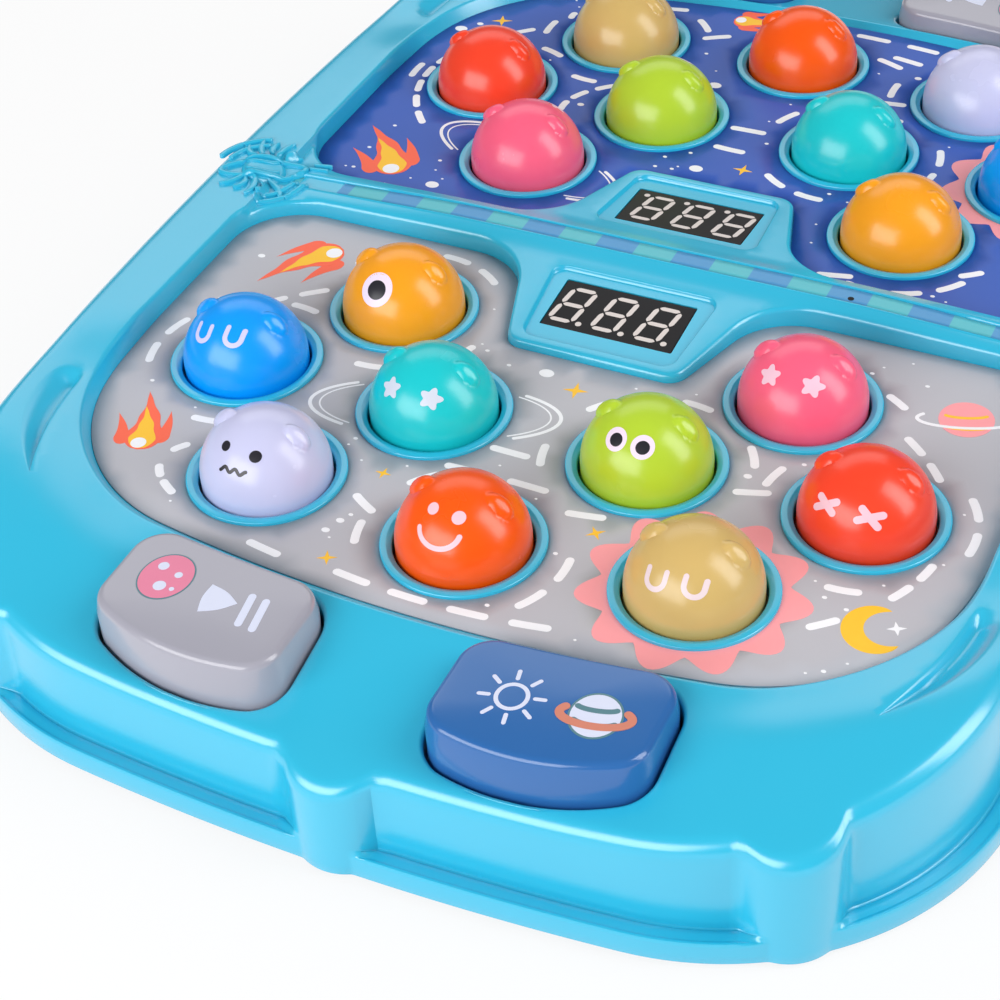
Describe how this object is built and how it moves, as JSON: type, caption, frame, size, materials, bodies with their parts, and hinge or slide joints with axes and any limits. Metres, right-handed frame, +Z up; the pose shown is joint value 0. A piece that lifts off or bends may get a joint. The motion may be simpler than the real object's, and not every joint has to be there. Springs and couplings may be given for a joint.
{
  "type": "whack-a-mole toy",
  "caption": "Low table-top whack-a-mole toy for two players: domed sprung moles in two recessed panels, end buttons, score displays on a cross bar.",
  "frame": {"origin": "centre of the footprint, on the table plane under the rubber feet", "axes": "+X to the right and +Y away from the near player, +Z up; the far half is the near half turned by half a turn about Z"},
  "size_m": [0.287, 0.3946, 0.0558],
  "materials": {
    "casing": "glossy cyan moulding",
    "cover": "fine satin",
    "sheet_near": "printed sheet, grey ground",
    "sheet_far": "printed sheet, blue ground",
    "strip": "printed checker in two colours",
    "mole_yellow": "glossy, slightly translucent",
    "mole_pink": "glossy, slightly translucent",
    "mole_blue": "glossy, slightly translucent",
    "mole_turquoise": "glossy, slightly translucent",
    "mole_green": "glossy, slightly translucent",
    "mole_red": "glossy, slightly translucent",
    "mole_lilac": "glossy, slightly translucent",
    "mole_orange": "glossy, slightly translucent",
    "mole_beige": "glossy, slightly translucent",
    "button_grey": "glossy",
    "button_navy": "glossy",
    "display": "dark window with pale digits",
    "board": "green laminate",
    "switch": "black",
    "lamp": "clear lens",
    "speaker": "black",
    "spring": "bright wire",
    "screw": "zinc plated",
    "contact": "nickel plated",
    "cell": "sleeved can",
    "foot": "matt"
  },
  "bodies": {
    "casing": {"top_shell": "casing", "bottom_cover": "cover", "near_panel_sheet": "sheet_near", "far_panel_sheet": "sheet_far", "centre_strip": "strip", "displays": "display", "circuit_boards": "board", "tact_switches": "switch", "leds": "lamp", "speaker": "speaker", "batteries": "cell", "battery_contacts": "contact", "screws": "screw", "rubber_feet": "foot", "near_spring_yellow": "spring", "near_spring_pink": "spring", "near_spring_blue": "spring", "near_spring_turquoise": "spring", "near_spring_green": "spring", "near_spring_red": "spring", "near_spring_lilac": "spring", "near_spring_orange": "spring", "near_spring_beige": "spring", "near_start_springs": "spring", "near_mode_springs": "spring", "far_spring_yellow": "spring", "far_spring_pink": "spring", "far_spring_blue": "spring", "far_spring_turquoise": "spring", "far_spring_green": "spring", "far_spring_red": "spring", "far_spring_lilac": "spring", "far_spring_orange": "spring", "far_spring_beige": "spring", "far_start_springs": "spring", "far_mode_springs": "spring"},
    "door": {"battery_door": "cover", "door_screws": "screw"},
    "near_mole_yellow": {"near_mole_yellow": "mole_yellow"},
    "near_mole_pink": {"near_mole_pink": "mole_pink"},
    "near_mole_blue": {"near_mole_blue": "mole_blue"},
    "near_mole_turquoise": {"near_mole_turquoise": "mole_turquoise"},
    "near_mole_green": {"near_mole_green": "mole_green"},
    "near_mole_red": {"near_mole_red": "mole_red"},
    "near_mole_lilac": {"near_mole_lilac": "mole_lilac"},
    "near_mole_orange": {"near_mole_orange": "mole_orange"},
    "near_mole_beige": {"near_mole_beige": "mole_beige"},
    "near_start_button": {"near_start_button": "button_grey"},
    "near_mode_button": {"near_mode_button": "button_navy"},
    "far_mole_yellow": {"far_mole_yellow": "mole_yellow"},
    "far_mole_pink": {"far_mole_pink": "mole_pink"},
    "far_mole_blue": {"far_mole_blue": "mole_blue"},
    "far_mole_turquoise": {"far_mole_turquoise": "mole_turquoise"},
    "far_mole_green": {"far_mole_green": "mole_green"},
    "far_mole_red": {"far_mole_red": "mole_red"},
    "far_mole_lilac": {"far_mole_lilac": "mole_lilac"},
    "far_mole_orange": {"far_mole_orange": "mole_orange"},
    "far_mole_beige": {"far_mole_beige": "mole_beige"},
    "far_start_button": {"far_start_button": "button_grey"},
    "far_mode_button": {"far_mode_button": "button_navy"}
  },
  "joints": [
    {"name": "near_mole_yellow_press", "type": "slide", "parent": "casing", "child": "near_mole_yellow", "axis": [0, 0, -1], "range_m": [0, 0.004], "stiffness_N_per_m": 300, "springref_m": -0.003, "deforming": ["near_spring_yellow"]},
    {"name": "near_mole_pink_press", "type": "slide", "parent": "casing", "child": "near_mole_pink", "axis": [0, 0, -1], "range_m": [0, 0.004], "stiffness_N_per_m": 300, "springref_m": -0.003, "deforming": ["near_spring_pink"]},
    {"name": "near_mole_blue_press", "type": "slide", "parent": "casing", "child": "near_mole_blue", "axis": [0, 0, -1], "range_m": [0, 0.004], "stiffness_N_per_m": 300, "springref_m": -0.003, "deforming": ["near_spring_blue"]},
    {"name": "near_mole_turquoise_press", "type": "slide", "parent": "casing", "child": "near_mole_turquoise", "axis": [0, 0, -1], "range_m": [0, 0.004], "stiffness_N_per_m": 300, "springref_m": -0.003, "deforming": ["near_spring_turquoise"]},
    {"name": "near_mole_green_press", "type": "slide", "parent": "casing", "child": "near_mole_green", "axis": [0, 0, -1], "range_m": [0, 0.004], "stiffness_N_per_m": 300, "springref_m": -0.003, "deforming": ["near_spring_green"]},
    {"name": "near_mole_red_press", "type": "slide", "parent": "casing", "child": "near_mole_red", "axis": [0, 0, -1], "range_m": [0, 0.004], "stiffness_N_per_m": 300, "springref_m": -0.003, "deforming": ["near_spring_red"]},
    {"name": "near_mole_lilac_press", "type": "slide", "parent": "casing", "child": "near_mole_lilac", "axis": [0, 0, -1], "range_m": [0, 0.004], "stiffness_N_per_m": 300, "springref_m": -0.003, "deforming": ["near_spring_lilac"]},
    {"name": "near_mole_orange_press", "type": "slide", "parent": "casing", "child": "near_mole_orange", "axis": [0, 0, -1], "range_m": [0, 0.004], "stiffness_N_per_m": 300, "springref_m": -0.003, "deforming": ["near_spring_orange"]},
    {"name": "near_mole_beige_press", "type": "slide", "parent": "casing", "child": "near_mole_beige", "axis": [0, 0, -1], "range_m": [0, 0.004], "stiffness_N_per_m": 300, "springref_m": -0.003, "deforming": ["near_spring_beige"]},
    {"name": "near_start_button_press", "type": "slide", "parent": "casing", "child": "near_start_button", "axis": [0, 0, -1], "range_m": [0, 0.0025], "stiffness_N_per_m": 400, "springref_m": -0.003, "deforming": ["near_start_springs"]},
    {"name": "near_mode_button_press", "type": "slide", "parent": "casing", "child": "near_mode_button", "axis": [0, 0, -1], "range_m": [0, 0.0025], "stiffness_N_per_m": 400, "springref_m": -0.003, "deforming": ["near_mode_springs"]},
    {"name": "far_mole_yellow_press", "type": "slide", "parent": "casing", "child": "far_mole_yellow", "axis": [0, 0, -1], "range_m": [0, 0.004], "stiffness_N_per_m": 300, "springref_m": -0.003, "deforming": ["far_spring_yellow"]},
    {"name": "far_mole_pink_press", "type": "slide", "parent": "casing", "child": "far_mole_pink", "axis": [0, 0, -1], "range_m": [0, 0.004], "stiffness_N_per_m": 300, "springref_m": -0.003, "deforming": ["far_spring_pink"]},
    {"name": "far_mole_blue_press", "type": "slide", "parent": "casing", "child": "far_mole_blue", "axis": [0, 0, -1], "range_m": [0, 0.004], "stiffness_N_per_m": 300, "springref_m": -0.003, "deforming": ["far_spring_blue"]},
    {"name": "far_mole_turquoise_press", "type": "slide", "parent": "casing", "child": "far_mole_turquoise", "axis": [0, 0, -1], "range_m": [0, 0.004], "stiffness_N_per_m": 300, "springref_m": -0.003, "deforming": ["far_spring_turquoise"]},
    {"name": "far_mole_green_press", "type": "slide", "parent": "casing", "child": "far_mole_green", "axis": [0, 0, -1], "range_m": [0, 0.004], "stiffness_N_per_m": 300, "springref_m": -0.003, "deforming": ["far_spring_green"]},
    {"name": "far_mole_red_press", "type": "slide", "parent": "casing", "child": "far_mole_red", "axis": [0, 0, -1], "range_m": [0, 0.004], "stiffness_N_per_m": 300, "springref_m": -0.003, "deforming": ["far_spring_red"]},
    {"name": "far_mole_lilac_press", "type": "slide", "parent": "casing", "child": "far_mole_lilac", "axis": [0, 0, -1], "range_m": [0, 0.004], "stiffness_N_per_m": 300, "springref_m": -0.003, "deforming": ["far_spring_lilac"]},
    {"name": "far_mole_orange_press", "type": "slide", "parent": "casing", "child": "far_mole_orange", "axis": [0, 0, -1], "range_m": [0, 0.004], "stiffness_N_per_m": 300, "springref_m": -0.003, "deforming": ["far_spring_orange"]},
    {"name": "far_mole_beige_press", "type": "slide", "parent": "casing", "child": "far_mole_beige", "axis": [0, 0, -1], "range_m": [0, 0.004], "stiffness_N_per_m": 300, "springref_m": -0.003, "deforming": ["far_spring_beige"]},
    {"name": "far_start_button_press", "type": "slide", "parent": "casing", "child": "far_start_button", "axis": [0, 0, -1], "range_m": [0, 0.0025], "stiffness_N_per_m": 400, "springref_m": -0.003, "deforming": ["far_start_springs"]},
    {"name": "far_mode_button_press", "type": "slide", "parent": "casing", "child": "far_mode_button", "axis": [0, 0, -1], "range_m": [0, 0.0025], "stiffness_N_per_m": 400, "springref_m": -0.003, "deforming": ["far_mode_springs"]},
    {"name": "door_lift_off", "type": "slide", "parent": "casing", "child": "door", "axis": [0, 0, -1], "range_m": [0, 0.02]}
  ]
}
